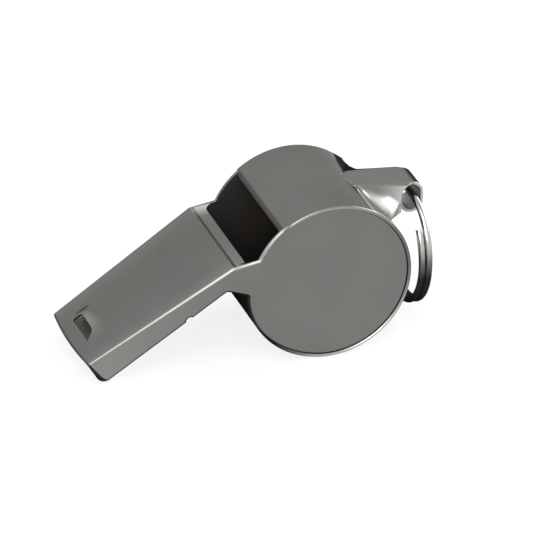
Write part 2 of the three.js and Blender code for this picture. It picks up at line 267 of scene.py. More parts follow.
class PaintedLightAmounts(PropertyGroup):
    """How much painted light single places get: 1 is a painted highlight and -1 is painted shade, dark and
    rough.
    """

    rims: share("Rims", 0.35, "Rims of the barrel")
    rims_sheen: share("Rims below", 0.65, "What the rims gain where they are rubbed most")
    rims_shade: share("Rims dull", -0.5, "What the rims lose where they are dullest")
    neck_corner: share("Neck corner", -0.95, "Corner of the strip below the neck")
    lip: share("Lip", -0.35, "Lip of the sounding edge")
    floor: share("Floor", 0.5, "Floor of the windway")
    floor_front: share("Floor front", 0.9, "Floor in front of the notches")
    cut_edges: share("Cut edges", -0.85, "Seats, lower edges and front edges of the side plates")
    near_edge: share("Near edge", 0.4, "Upper edge of the near side plate")
    far_edge: share("Far edge", 0.0, "Upper edge of the far side plate")
    front_end: share("Front end", 0.1, "Front ends of the upper edges")
    edge_matt: share("Edge matt", 0.5, "How matt the upper edges are")
    wall: share("Wall", 0.22, "What the walls gain towards the tip")
    wall_inside: share("Wall inside", 0.8, "Inner faces of the walls")
    plate_sides: share("Plate sides", 0.08, "Long edges of the top plate")
    plate_middle: share("Plate middle", -0.1, "Middle of the top plate")
    plate_front: share("Plate front", -0.8, "Cut front edge of the top plate")
    hood: share("Hood", 0.3, "Top of the bite grip's hood")
    hood_flank_shade: share("Hood flank", -0.9, "Far flank of the bite grip's hood")
    ramp: share("Ramp", 0.1, "Ramp at the window")
    ramp_far_highlight: share("Ramp far", 0.8, "What the ramp gains at its far end")
    score: share("Score", -0.55, "Scored line along the crease")
    score_far: share("Score far", 0.3, "Far end of the scored line")
    wing_foot: share("Wing foot", -0.15, "Near wing of the lug at the barrel")
    wing_neck: share("Wing neck", 1.0, "Near wing of the lug at the eye")
    far_foot: share("Far foot", -1.0, "Far wing of the lug at the barrel")
    far_neck: share("Far neck", -0.4, "Far wing of the lug at the eye")
    far_flange: share("Far flange", -0.95, "Far side of the lug's foot")
    free_edges: share("Free edges", 0.8, "Free edges of the lug's sheet and its near foot line")
    low_edges: share("Low edges", 0.6, "Lower edges of the wings")
    roof_end: share("Roof end", -0.3, "Roof of the lug where the roll begins")
    roll_start: share("Roll start", -0.5, "First row of the roll")
    roll: share("Roll", -0.9, "Back of the roll")
    eye_inside: share("Eye inside", 0.6, "Inner face of the eye")
    hood_inside: share("Hood inside", -0.2, "Inner face of the lug's hood")


class StageSettings(PropertyGroup):
    """Camera, lamps and floor."""

    azimuth: angle("Azimuth", -20.555, "Direction of the camera round the whistle")
    elevation: angle("Elevation", 28.895, "Height of the camera over the table")
    roll: angle("Roll", 1.5, "Turn of the camera about its own axis")
    distance: length("Distance", 1000, "From the target to the camera")
    target_x: length("Target X", 4.945, "Place that the camera looks at, along X")
    target_z: length("Target Z", 8.963, "Place that the camera looks at, above the table")
    pixels_per_mm: share("Scale", 6.9123, "Image pixels for a millimetre at the target")
    image_width: IntProperty(name="Image width", description="Pixels across the image", default=550)
    sensor: length("Sensor", 36, "Width of the camera's sensor")
    lamp_reach: length("Lamp reach", 400, "From the target to the lamps")
    floor_size: length("Floor", 4000, "Width of the floor")
    floor_colour: colour("Floor colour", (0.25, 0.25, 0.25), "Colour of the table")
    floor_white: share("Floor white", 0.82, "Light that makes the open floor white in the picture")
    sky: share("Sky", 0.3, "Strength of the surroundings as a light")


# Curves in the plane of the whistle's profile

def blend(first, second, part):
    """What lies a part of the way from the first value to the second."""
    return first * (1 - part) + second * part


def polar(radius, turn):
    """Points on a circle about the origin: radius times cosine and sine of the turn."""
    return radius * np.stack([np.cos(turn), np.sin(turn)], axis=-1)


def arc(centre, radius, start, end, steps):
    """Points on a circle about a centre, at equal turns from start to end."""
    return np.asarray(centre) + polar(radius, np.linspace(start, end, steps + 1))


def line(start, end, steps):
    """Points at equal distances from start to end."""
    along = np.linspace(0, 1, steps + 1)[:, None]
    return blend(np.asarray(start), np.asarray(end), along)


def unit(vector):
    """The vector at length 1."""
    return vector / np.linalg.norm(vector)


def turn_of(vector):
    """The turn of a plane vector from +X."""
    return math.atan2(vector[1], vector[0])


def smooth(value):
    """A smooth step from 0 to 1: three squares less two cubes, level outside."""
    value = np.clip(value, 0, 1)
    return value * value * (3 - 2 * value)


def ramped(value, start, end):
    """Rises evenly from 0 at the start to 1 at the end, level outside."""
    return np.clip((value - start) / (end - start), 0, 1)


def lobe(turn, power=1):
    """A power of the turn's cosine, and 0 where the cosine is negative."""
    return np.clip(np.cos(turn), 0, 1) ** power


def joined(*curves):
    """Curves end to end, without their repeated end points."""
    points = np.concatenate(curves)
    apart = np.linalg.norm(np.diff(points, axis=0), axis=1) > 1e-7
    return points[np.concatenate([[True], apart])]


class Profile:
    """The places in the whistle's profile that follow from the driving sizes."""

    def __init__(self, shell):
        self.shell = shell
        self.radius = shell.diameter / 2
        self.half = shell.width / 2
        self.wall = self.half - shell.rim
        self.top = self.radius - shell.top_drop
        self.bend_x = -shell.crease
        self.tip_x = self.bend_x - shell.mouthpiece
        self.taper = (self.wall - shell.tip_width / 2) / shell.mouthpiece
        self.throat = np.array([-shell.throat, self.top - shell.throat_height])
        tip_low = np.array([self.tip_x, self.top - shell.tip_height])
        self.floor_along = unit(tip_low - self.throat)
        self.floor_out = np.array([-self.floor_along[1], self.floor_along[0]])
        neck_foot = polar(self.radius + shell.swell, shell.neck)
        self.neck_along = unit(self.throat - neck_foot)
        self.neck_out = np.array([-self.neck_along[1], self.neck_along[0]])
        # The centre of the foot's bend: beside the neck's line, and outside the opened round
        near = neck_foot + shell.foot_bend * self.neck_out
        lean = near @ self.neck_along
        gap = near @ near - (self.radius + shell.swell + shell.foot_bend) ** 2
        self.foot = near + self.neck_along * (math.sqrt(lean * lean - gap) - lean)
        self.foot_turn = turn_of(self.foot)
        lip_reach = shell.lip_radius * math.sin(shell.lip)
        self.start = shell.blade - math.asin(lip_reach / self.radius)
        self.turns = np.linspace(self.start, self.foot_turn - 2 * math.pi, ROUND_POINTS)
        self.kept = smooth((self.turns - self.turns[-1]) / shell.fade)
        self.proud = self.kept * smooth((self.start - self.turns) / shell.emerge)
        self.tilt = self.resting_tilt()

    def resting_tilt(self):
        """Tips the whistle until the round of the barrel and the floor's front edge stand level."""
        reach = self.tip_x + self.shell.floor_setback - self.shell.tip_bulge
        rest = self.floor_at(reach)
        return turn_of((-rest[0], rest[1])) + math.asin(self.radius / np.linalg.norm(rest))

    def floor_at(self, x):
        """The point of the floor's underside at x."""
        return self.throat + self.floor_along * (x - self.throat[0]) / self.floor_along[0]

    def plan_half(self, x, inside=0.0):
        """Half the plan width at x of what lies a given depth inside the walls' outer faces."""
        return self.wall - inside + self.taper * np.minimum(0, x - self.bend_x)

    def strip(self, inside, seat=0.0):
        """The strip's outer face moved inwards: the round of the barrel and the two bends after it.

        The round opens out by a smooth step towards the neck. A seat lies further in than the rest
        where the near rim stands proud.
        """
        shell = self.shell
        mitre = (self.neck_out + self.floor_out) / (1 + self.neck_out @ self.floor_out)
        throat = self.throat + shell.throat_bend * mitre
        neck_in = turn_of(-self.neck_out)
        floor_in = turn_of(-self.floor_out)
        swell = smooth(ramped(self.turns, shell.swell_from, shell.swell_full))
        radius = self.radius + shell.swell * swell - inside - seat * self.proud
        barrel = radius[:, None] * polar(1.0, self.turns)
        foot_curve = arc(self.foot, shell.foot_bend + inside, self.foot_turn - math.pi, neck_in, BEND_STEPS)
        throat_curve = arc(throat, shell.throat_bend + inside, neck_in, floor_in, BEND_STEPS)
        return barrel, foot_curve, throat_curve


def to_part(points, profile):
    """Tips points of the whistle's frame about Y by the resting tilt and moves them to the part's frame."""
    cosine = math.cos(profile.tilt)
    sine = math.sin(profile.tilt)
    x, y, z = np.moveaxis(np.asarray(points), -1, 0)
    tipped = np.stack([x * cosine - z * sine, y, x * sine + z * cosine], axis=-1)
    return tipped + places["pea_roll"]


# Meshes

def numbered_quads(numbers):
    """The quads between the points of a grid of point numbers."""
    quads = np.stack([numbers[:-1, :-1], numbers[1:, :-1], numbers[1:, 1:], numbers[:-1, 1:]], axis=-1)
    return quads.reshape(-1, 4)


def grid_quads(rows, columns, start=0, around=False):
    """The quads of a grid of points numbered row by row, closed along the columns when around."""
    numbers = np.arange(rows * columns).reshape(rows, columns) + start
    if around:
        numbers = np.concatenate([numbers, numbers[:, :1]], axis=1)
    return numbered_quads(numbers)


def thick_body(points, quads, thickness):
    """A closed body: an outer face, its copy moved in along the point normals, and the rim between.

    An edge is free, and gets a rim, where no neighbouring quad runs along it the other way.
    """
    corners = points[quads]
    outward = np.cross(corners[:, 2] - corners[:, 0], corners[:, 3] - corners[:, 1])
    normals = np.zeros_like(points)
    np.add.at(normals, quads, outward[:, None])
    normals /= np.linalg.norm(normals, axis=1, keepdims=True)
    edges = np.stack([np.roll(quads, 1, axis=1), quads], axis=-1).reshape(-1, 2)
    codes = edges @ np.array([[len(points), 1], [1, len(points)]])
    free = edges[~np.isin(codes[:, 1], codes[:, 0])]
    inner = free + len(points)
    rim = np.stack([free[:, 1], free[:, 0], inner[:, 0], inner[:, 1]], axis=-1)
    body = np.concatenate([points, points - thickness * normals])
    return body, np.concatenate([quads, quads[:, ::-1] + len(points), rim])


def mesh_object(name, points, faces, **values):
    """A smooth-shaded mesh object at the origin, with points that coincide made one.

    Each value is an attribute with a number for each point. Painted light is 1 for a painted highlight and
    -1 for painted shade.
    Matt is 1 where the sheet is unpolished.
    """
    mesh = bpy.data.meshes.new(name)
    mesh.from_pydata(np.reshape(points, (-1, 3)).tolist(), [], [list(face) for face in faces])
    for title, numbers in values.items():
        mesh.attributes.new(title, "FLOAT", "POINT").data.foreach_set("value", np.ravel(numbers))
    work = bmesh.new()
    work.from_mesh(mesh)
    bmesh.ops.remove_doubles(work, verts=work.verts, dist=1e-7)
    work.to_mesh(mesh)
    work.free()
    mesh.shade_smooth()
    made = bpy.data.objects.new(name, mesh)
    bpy.context.collection.objects.link(made)
    return made


def flatten_shading(made):
    """Lets the normals follow the large faces, so that flat faces look flat."""
    normals = made.modifiers.new("Flat faces", "WEIGHTED_NORMAL")
    normals.weight = 50


def round_edges(made, edge):
    """Rounds a body's sharp edges and lets flat faces look flat."""
    bevel = made.modifiers.new("Round edges", "BEVEL")
    bevel.width = edge
    bevel.segments = EDGE_SEGMENTS
    bevel.limit_method = "ANGLE"
    bevel.angle_limit = EDGE_LIMIT
    bevel.use_clamp_overlap = False
    flatten_shading(made)


def make_sheet(made, thickness, edge):
    """Gives a surface its thickness on the inner side and round edges."""
    solid = made.modifiers.new("Sheet", "SOLIDIFY")
    solid.thickness = thickness
    solid.offset = -1
    solid.use_even_offset = True
    round_edges(made, edge)


def settle(made, material, body, node):
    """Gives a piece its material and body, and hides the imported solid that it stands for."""
    made.data.materials.append(material)
    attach(made, body)
    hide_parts(node)


# Shaders

class Socket:
    """An output socket with arithmetic: each operation adds one Math node."""

    def __init__(self, shader, socket):
        self.shader = shader
        self.socket = socket

    def math(self, operation, first, second=0.0):
        return self.shader.out("ShaderNodeMath", {"operation": operation}, {0: first, 1: second})

    def __add__(self, other):
        return self.math("ADD", self, other)

    __radd__ = __add__

    def __mul__(self, other):
        return self.math("MULTIPLY", self, other)

    __rmul__ = __mul__

    def __sub__(self, other):
        return self.math("SUBTRACT", self, other)

    def __rsub__(self, other):
        return self.math("SUBTRACT", other, self)

    def above(self, limit):
        return self.math("GREATER_THAN", self, limit)

    def most(self, other):
        return self.math("MAXIMUM", self, other)


class Shader:
    """The node tree of one material or world, empty at first."""

    def __init__(self, owner):
        owner.use_nodes = True
        self.tree = owner.node_tree
        self.tree.nodes.clear()

    def node(self, kind, settings=None, sockets=None):
        """One node: its settings first, then the values or links of its sockets."""
        made = self.tree.nodes.new(kind)
        for name, value in (settings or {}).items():
            if name == "stops":
                self.set_stops(made.color_ramp, value)
            else:
                setattr(made, name, value)
        for name, value in (sockets or {}).items():
            if isinstance(value, Socket):
                self.tree.links.new(value.socket, made.inputs[name])
            else:
                made.inputs[name].default_value = value
        return made

    def set_stops(self, ramp, stops):
        """Places a ramp's stops, each a position and a grey."""
        while len(ramp.elements) < len(stops):
            ramp.elements.new(0.5)
        for element, (position, grey) in zip(ramp.elements, stops):
            element.position = position
            element.color = (grey, grey, grey, 1)

    def out(self, kind, settings=None, sockets=None, name=0):
        """One node's output."""
        return Socket(self, self.node(kind, settings, sockets).outputs[name])

    def noise(self, place, scale, detail=2.0, roughness=0.5):
        """Soft noise between 0 and 1, with a scale in waves per metre."""
        values = {"Vector": place, "Scale": scale, "Detail": detail, "Roughness": roughness}
        return self.out("ShaderNodeTexNoise", None, values, "Fac")

    def stretched(self, place, scale, turn):
        """Coordinates that are stretched along one way, for lines."""
        values = {"Vector": place, "Scale": scale, "Rotation": turn}
        return self.out("ShaderNodeMapping", None, values)

    def tinted(self, first, second, factor):
        """A colour between two colours."""
        settings = {"data_type": "RGBA"}
        return self.out("ShaderNodeMix", settings, {0: factor, 6: first, 7: second}, 2)

    def ramp(self, value, *stops):
        """A value through a ramp of positions and greys."""
        return self.out("ShaderNodeValToRGB", {"stops": stops}, {"Fac": value})

    def bump(self, height, strength, distance):
        """A normal from a height."""
        values = {"Height": height, "Strength": strength, "Distance": distance}
        return self.out("ShaderNodeBump", None, values)

    def finish(self, surface, kind="ShaderNodeOutputMaterial"):
        """Ends the tree."""
        self.node(kind, None, {"Surface": surface})


def polished_metal(name):
    """Polished plate: a soft haze in tone and gloss, fine polishing lines and a few specks.

    Painted highlights mix the colour towards a bright grey. Painted shade mixes it towards near black and
    makes it rough and not metallic. Matt places are rougher.
    """
    finishes = bpy.context.scene.whistle_finishes
    colour_name, tint_name, gloss, grain = METALS[name]
    base = getattr(finishes, colour_name)
    tint = getattr(finishes, tint_name)
    material = bpy.data.materials.new(name)
    shader = Shader(material)
    place = shader.out("ShaderNodeTexCoord", name="Object")
    haze = shader.noise(place, 110, 3.0)
    bloom = shader.noise(place, 420, 4.0, 0.6)
    lines = shader.noise(shader.stretched(place, (grain, 400, grain), (0, 0.55, 0)), 1.0, 3.0, 0.7)
    specks = shader.noise(place, 2600, 1.0).above(0.74)
    dull = tuple(0.95 * part for part in base)
    bright = tuple(1.05 * part for part in base)
    tone = shader.tinted((*dull, 1), (*bright, 1), shader.ramp(haze, (0.3, 0.0), (0.7, 1.0)))
    tone = shader.tinted(tone, (*dull, 1), specks * 0.5)
    # Painted light: above 0 it mixes in the painted highlight colour, below 0 the painted shade colour
    wear = shader.out("ShaderNodeAttribute", {"attribute_name": "wear"}, name="Fac")
    painted_shade = (wear * -1).most(0)
    matt = shader.out("ShaderNodeAttribute", {"attribute_name": "matt"}, name="Fac")
    tone = shader.tinted(tone, (*finishes.bright, 1), wear.most(0))
    tone = shader.tinted(tone, (*finishes.painted_shade, 1), painted_shade)
    height = lines * 0.6 + bloom * 0.4
    values = {
        "Base Color": tone,
        "Metallic": 1 - painted_shade,
        "Roughness": gloss + bloom * 0.08 + specks * 0.15 + painted_shade * 0.7 + matt * 0.28,
        "Specular Tint": (*tint, 1),
        "Specular IOR Level": 0.0,
        "Normal": shader.bump(height, 0.06, 0.05 * MM),
    }
    shader.finish(shader.out("ShaderNodeBsdfPrincipled", None, values))
    return material


def ground_cork(name):
    """Ground cork: warm mottled grains, dark pores and a rough bitten surface."""
    finishes = bpy.context.scene.whistle_finishes
    material = bpy.data.materials.new(name)
    shader = Shader(material)
    place = shader.out("ShaderNodeTexCoord", name="Object")
    grains = shader.out("ShaderNodeTexVoronoi", None, {"Vector": place, "Scale": 900.0}, "Distance")
    mottle = shader.noise(place, 500, 4.0, 0.65)
    pores = shader.ramp(shader.noise(place, 1500, 3.0, 0.6), (0.34, 1.0), (0.44, 0.0))
    tone = shader.tinted((*finishes.cork, 1), (*finishes.cork_dark, 1), mottle * 0.9)
    tone = shader.tinted(tone, (*finishes.cork_dark, 1), pores * 0.8)
    height = grains * 0.5 + mottle * 0.6 - pores * 0.8
    values = {
        "Base Color": tone,
        "Roughness": 0.82 + mottle * 0.12,
        "Normal": shader.bump(height, 0.7, 0.25 * MM),
    }
    shader.finish(shader.out("ShaderNodeBsdfPrincipled", None, values))
    return material


def metal(name):
    """A metal that several pieces may share, made when it is first asked for."""
    return bpy.data.materials.get(name) or polished_metal(name)


# Shapes

def strip_surface(profile):
    """The strip's outer face with its painted light and matt: its path by rows, and across it Y by columns.

    The sounding edge is a small arc that turns in from the round. The half width is the barrel's
    on the round. By smooth steps the near rim comes out beside the sounding edge and both rims go in
    to the walls' width before the neck. The floor follows the walls and dips by a raised cosine at
    each notch. Towards the tip the rows bow forward by a parabola in Y. Painted highlights run along
    the rims, brightest at the bottom, with painted shade where they are dullest. Painted shade darkens
    the lip and the corner below the neck, painted light brightens the floor, and lip and floor are matt.
    """
    shell = profile.shell
    painted = bpy.context.scene.whistle_wear
    floor_end = profile.tip_x + shell.floor_setback
    start = profile.start
    lip_centre = polar(profile.radius - shell.lip_radius, start)
    lip = arc(lip_centre, shell.lip_radius, start + shell.lip, start, 8)
    barrel, foot, throat = profile.strip(0.0)
    neck = line(foot[-1], throat[0], 8)
    notch_x = np.linspace(shell.notch_reach, -shell.notch_reach, 11) - shell.notch
    lead = np.linspace(throat[-1, 0], notch_x[0], 8)
    tail = np.linspace(notch_x[-1], floor_end, 14)
    floor_x = np.concatenate([lead[1:-1], notch_x, tail[1:]])
    floor = profile.floor_at(floor_x[:, None])
    path = joined(lip, barrel, foot, neck, throat, floor)
    x = path[:, 0]
    before = len(lip) - 1
    after = len(path) - len(barrel) - before
    beyond = np.arange(len(path)) >= len(path) - len(floor) - len(throat) - len(neck) + 2

    proud = np.zeros((len(path), 2))
    proud[:before, 1] = 1
    proud[before:-after] = np.stack([profile.proud, profile.kept], axis=-1)
    half = blend(profile.plan_half(x, shell.sheet / 2)[:, None], profile.half, proud)
    dip = np.cos(math.pi / 2 * np.clip((x + shell.notch) / shell.notch_reach, -1, 1)) ** 2
    half = half - np.where(beyond, shell.notch_depth * dip, 0)[:, None]
    rim = 1 - EDGE_COLUMN * shell.strip_edge / profile.half
    across = np.concatenate([[-1], np.linspace(-rim, rim, 23), [1]])
    forward = np.where(beyond, ramped(x, throat[-1, 0], floor_end), 0)
    bow = shell.tip_bulge * forward[:, None] ** 6 * (1 - across ** 2)
    y = np.where(across < 0, half[:, :1], half[:, 1:]) * across
    level = path[:, None, :] + bow[..., None] * profile.floor_along

    # Painted highlights along the rims by their turn round the barrel, painted shade where they are dullest
    # and in the corner below the neck
    round_turn = np.pad(profile.turns, (before, after), mode="edge")
    painted_sheen_shade = painted.rims + painted.rims_sheen * lobe(round_turn - shell.rim_sheen_turn, 6)
    painted_sheen_shade = painted_sheen_shade + painted.rims_shade * lobe(round_turn - shell.dull, 4)
    corner = ramped(round_turn, shell.shade_from, shell.shade_full)[:, None]
    wear = blend(np.where(np.abs(across) == 1, painted_sheen_shade[:, None], 0), painted.neck_corner, corner)
    # Painted shade on the lip, painted light on the floor and brighter still in front of the notches
    wear[:before] = painted.lip
    wear[-len(floor):] = painted.floor
    wear[-len(tail) + 1:] = painted.floor_front
    matt = np.zeros_like(wear)
    matt[:before] = 1
    matt[-len(floor):] = 1
    return np.stack([level[..., 0], y, level[..., 1]], axis=-1), wear, matt


def side_plate_outline(profile):
    """The side plate's outline in X and Z, clockwise, and where its bend, top edge and seat lie.

    Seat inside the strip, lower edge with a half-round notch, tip corner, level top edge, the slope
    to the window and the window's arc. Of the three numbers, the bend lies at the first on the lower
    edge and at the second on the top edge, and the seat ends at the third.
    """
    shell = profile.shell
    seat = shell.sheet - shell.lap - shell.seam
    barrel, foot, throat = profile.strip(shell.seam, seat)
    down = turn_of(profile.floor_out) + 2 * math.pi
    notch_radius = (shell.notch_half ** 2 + shell.notch_rise ** 2) / (2 * shell.notch_rise)
    notch_turn = math.asin(shell.notch_half / notch_radius)
    notch_centre = profile.floor_at(-shell.notch) + profile.floor_out * (notch_radius - shell.notch_rise)
    notch = arc(notch_centre, notch_radius, down + math.pi - notch_turn, down + math.pi + notch_turn, 10)
    corner_x = profile.tip_x + shell.tip_corner
    centre = profile.floor_at(corner_x) - profile.floor_out * (shell.seam + shell.tip_corner)
    centre[0] = corner_x
    corner = arc(centre, shell.tip_corner, down, math.pi, 8)
    crease = np.array([profile.bend_x, profile.top])
    window = polar(profile.radius, shell.window)
    slope = unit(window - crease)
    front = np.array([[profile.tip_x, profile.top], [profile.tip_x + shell.soft, profile.top]])
    bend = np.array([crease - (shell.soft, 0), crease, crease + shell.soft * slope])
    edge = arc((0, 0), profile.radius, shell.window, profile.start, 12)[:-1]
    lead = joined(barrel, foot)
    seat_end = len(lead) - len(foot)
    low = seat_end + len(foot) // 2
    outline = joined(lead, throat, notch, corner, front, bend, edge)
    high = int(np.argmin(np.linalg.norm(outline - crease, axis=1)))
    return outline, low, high, seat_end


def inward(outline):
    """The mitred inward direction at each point of a closed clockwise outline."""
    along = np.roll(outline, -1, axis=0) - outline
    along /= np.linalg.norm(along, axis=1, keepdims=True)
    after = np.stack([along[:, 1], -along[:, 0]], axis=-1)
    before = np.roll(after, 1, axis=0)
    return (before + after) / (1 + np.sum(before * after, axis=1, keepdims=True))


def side_plate_surface(profile, side):
    """The side plate as a closed body with its painted light and matt: rings round its outline, and flat
    faces.

    The first rings are a quarter circle that rounds the outer edge, with radii of its own on the
    upper edges, the cut edges and the seat, and drawn out along the wall at its front corner. The
    last two round the inner edge. The faces are the disc, the tapering wall and the bend between
    them in two strips. Painted shade darkens the seat, the lower edge and the tip, and on the seat it
    is darkest at one turn round the barrel. Painted highlights lie along the upper edges, more on the
    near plate, and brighten the wall towards the tip and its inner face. The upper edges are partly
    matt and the inner face is matt.
    """
    shell = profile.shell
    painted = bpy.context.scene.whistle_wear
    outline, low, high, seat_end = side_plate_outline(profile)
    near = side < 0
    count = len(outline)
    number = np.arange(count)
    lower = number < high - 2
    on_wall = (number > low) & (number < high)
    edge = np.where(lower, shell.raw_edge, shell.plate_edge if near else shell.far_edge)
    edge = np.where(number < seat_end, shell.seat_edge, edge)
    front = ramped(outline[:, 0], profile.tip_x + shell.tip_corner, profile.tip_x)
    deep = ramped(outline[:, 1], profile.top, profile.top - shell.tip_height)
    lean = edge * (1 + shell.raw_lean * front * deep)
    turn = np.linspace(0, math.pi / 2, 7)[:, None]
    ring = np.ones((1, count))
    inset = np.concatenate([lean * (1 - np.sin(turn)), 0 * ring, shell.inner_edge * ring])
    depth = np.concatenate([
        edge * (1 - np.cos(turn)),
        (shell.sheet - shell.inner_edge) * ring,
        shell.sheet * ring,
    ])
    level = outline + inset[..., None] * inward(outline)
    turn_x = np.interp(level[..., 1], outline[[low, high], 1], outline[[low, high], 0])
    drop = np.where(on_wall, profile.taper * np.maximum(0, turn_x - level[..., 0]), 0)
    y = side * (profile.wall - drop - depth)
    points = np.stack([level[..., 0], y, level[..., 1]], axis=-1)

    disc = [*range(high + 1, count), *range(0, low)]
    wall = [*range(low + 1, high)]
    strips = [[low - 1, low, high, high + 1], [low, low + 1, high - 1, high]]
    last = count * (len(inset) - 1)
    faces = grid_quads(len(inset), count, around=True)[:, ::-1].tolist()
    for face in (disc, wall, *strips):
        faces.append(face[::-1])
        faces.append([corner + last for corner in face])
    if not near:
        faces = [face[::-1] for face in faces]

    # Painted shade on the seat, the lower edge and the tip; painted highlights along the upper edges and on
    # the wall
    seam_shade = painted.cut_edges * lobe(np.arctan2(outline[:, 1], outline[:, 0]) - shell.seam_shade)
    kept = np.pad(profile.kept[:seat_end], (0, count - seat_end))
    upper = np.where(number == high - 2, painted.front_end, painted.near_edge if near else painted.far_edge)
    wear = np.where(lower, blend(painted.cut_edges, seam_shade, kept), upper) * np.ones_like(inset)
    wear[0] = np.where(on_wall, painted.wall * (profile.bend_x - outline[:, 0]) / shell.mouthpiece, 0)
    wear[-1] = np.where(on_wall, painted.wall_inside, 0)
    matt = np.where(lower, 0, painted.edge_matt) * np.ones_like(wear)
    matt[0] = 0
    matt[-1] = 1
    return points, faces, wear, matt


def top_plate_surface(profile):
    """The top plate's upper face and its painted light, as two grids that part along the bite grip's slot.

    Rows run along X and columns across. In front of the slot the rows bow to the round tip. Behind
    it the first row is the hood's lip, a power curve. The hood rises by a power of one minus the
    squares of the distances along and aside. The plate is crowned by a parabola in Y, which fades
    towards the tip. At the ramp's ends a fillet rises by a square towards the walls and runs on
    along them. Painted shade darkens the tip's edge, the scored line, the hood's far flank and the
    plate's middle. Painted highlights lie on the hood, the ramp and its far end, the scored line's
    far end and the plate's long edges.
    """
    shell = profile.shell
    painted = bpy.context.scene.whistle_wear
    cut_x = profile.tip_x - shell.tip_bulge + shell.grip_setback
    hood_x = cut_x + shell.grip_slot
    hood_end = hood_x + shell.grip_hood
    inside = shell.sheet - shell.lap
    level = profile.top - shell.seam
    cut_half = profile.plan_half(cut_x, inside)
    slot = shell.grip_slot_width / 2
    hood = shell.grip_hood_width / 2
    half_columns = np.concatenate([
        np.linspace(0, slot, 11),
        np.linspace(slot, hood + shell.sheet, 7)[1:],
        np.linspace(hood + shell.sheet, cut_half - shell.fillet_width, 4)[1:],
        np.linspace(cut_half - shell.fillet_width, cut_half, 7)[1:],
    ]) / cut_half
    across = np.concatenate([-half_columns[:0:-1], half_columns])

    ramp = np.array([shell.ramp_run, -shell.ramp_drop])
    crease = np.array([profile.bend_x, level])
    fold = -turn_of(ramp)
    reach = shell.crease_bend * math.tan(fold / 2)
    centre = crease + np.array([-reach, -shell.crease_bend])
    bent = arc(centre, shell.crease_bend, math.pi / 2, math.pi / 2 - fold, BEND_STEPS)
    score = line(bent[-1], bent[-1] + shell.score_width * unit(ramp), 8)
    score[:, 1] -= shell.score_depth * np.sin(np.linspace(0, math.pi, 9)) ** 2
    flat = line((hood_end, level), bent[0], 12)
    path = joined(flat, bent, score, line(score[-1], crease + ramp, 4))[1:]

    lip_x = hood_x - shell.grip_slot * np.minimum(1, np.abs(across * cut_half / slot)) ** 8
    hood_grid = blend(lip_x, hood_end, np.linspace(0, 1, HOOD_ROWS)[:, None])
    rear_plan = np.concatenate([np.linspace(cut_x, hood_end, HOOD_ROWS), path[:, 0]])
    x = np.concatenate([hood_grid, np.broadcast_to(path[:, :1], (len(path), len(across)))])
    y = profile.plan_half(rear_plan, inside)[:, None] * across
    base = np.concatenate([np.full(HOOD_ROWS, level), path[:, 1]])[:, None]
    ahead = (1 - (slot / hood) ** 2) * (np.minimum(0, x - hood_x) / shell.grip_slot) ** 2
    behind = (np.maximum(0, x - hood_x) / shell.grip_hood) ** 2
    rise = np.maximum(0, 1 - ahead - behind - (y / hood) ** 2) ** 1.25
    down_ramp = ramped(x, profile.bend_x, profile.bend_x + shell.ramp_run)
    aside = np.clip(1 - (1 - np.abs(across)) * cut_half / shell.fillet_width, 0, 1) ** 2
    arch = shell.crown * (1 - across ** 2)
    z = base + arch + shell.grip_rise * rise + shell.fillet * aside * down_ramp ** 0.7
    run_on = shell.fillet_reach * aside * down_ramp ** 2
    rear = np.stack([x + run_on, y, z - shell.fillet_slope * run_on], axis=-1)
    scored = (path[:, 0] > score[0, 0]) & (path[:, 0] < score[-1, 0])
    # Painted highlights on the long edges, the hood, the ramp and its far end; painted shade in the plate's
    # middle, on the hood's far flank and along the scored line
    edges = painted.plate_sides * across ** 4 + painted.plate_middle * (1 - across ** 2)
    flank = np.exp(-((y - shell.flank) / shell.flank_shade_half) ** 2)
    lengthwise = np.abs(x - hood_x - shell.flank_shade_shift)
    flank = flank * (1 - ramped(lengthwise, shell.flank_shade_full, shell.flank_shade_reach))
    rear_painted_light = painted.hood * rise + edges + painted.hood_flank_shade * flank
    far = ramped(across, shell.ramp_far_highlight, shell.ramp_highlight_end)
    rear_painted_light[HOOD_ROWS:] += (painted.ramp + painted.ramp_far_highlight * far) * (path[:, :1] >= bent[-1, 0])
    rear_painted_light[HOOD_ROWS:][scored] = blend(painted.score, painted.score_far, far)

    front_rows = np.concatenate([[profile.tip_x], np.linspace(profile.tip_x + shell.raw_edge, cut_x, 9)])
    nose = (cut_x - front_rows) / (cut_x - profile.tip_x)
    front_x = front_rows[:, None] - shell.tip_bulge * nose[:, None] * (1 - across ** 2)
    front_y = profile.plan_half(front_rows, inside)[:, None] * across
    front_z = level + arch * (1 - nose[:, None] ** 2)
    front = np.stack([front_x, front_y, front_z], axis=-1)
    front_painted_light = edges * np.ones_like(front_y)
    front_painted_light[0] = painted.plate_front
    points = np.concatenate([front.reshape(-1, 3), rear.reshape(-1, 3)])
    quads = [grid_quads(*front_y.shape), grid_quads(*y.shape, start=front_y.size)]
    return points, np.concatenate(quads), np.concatenate([front_painted_light.ravel(), rear_painted_light.ravel()])


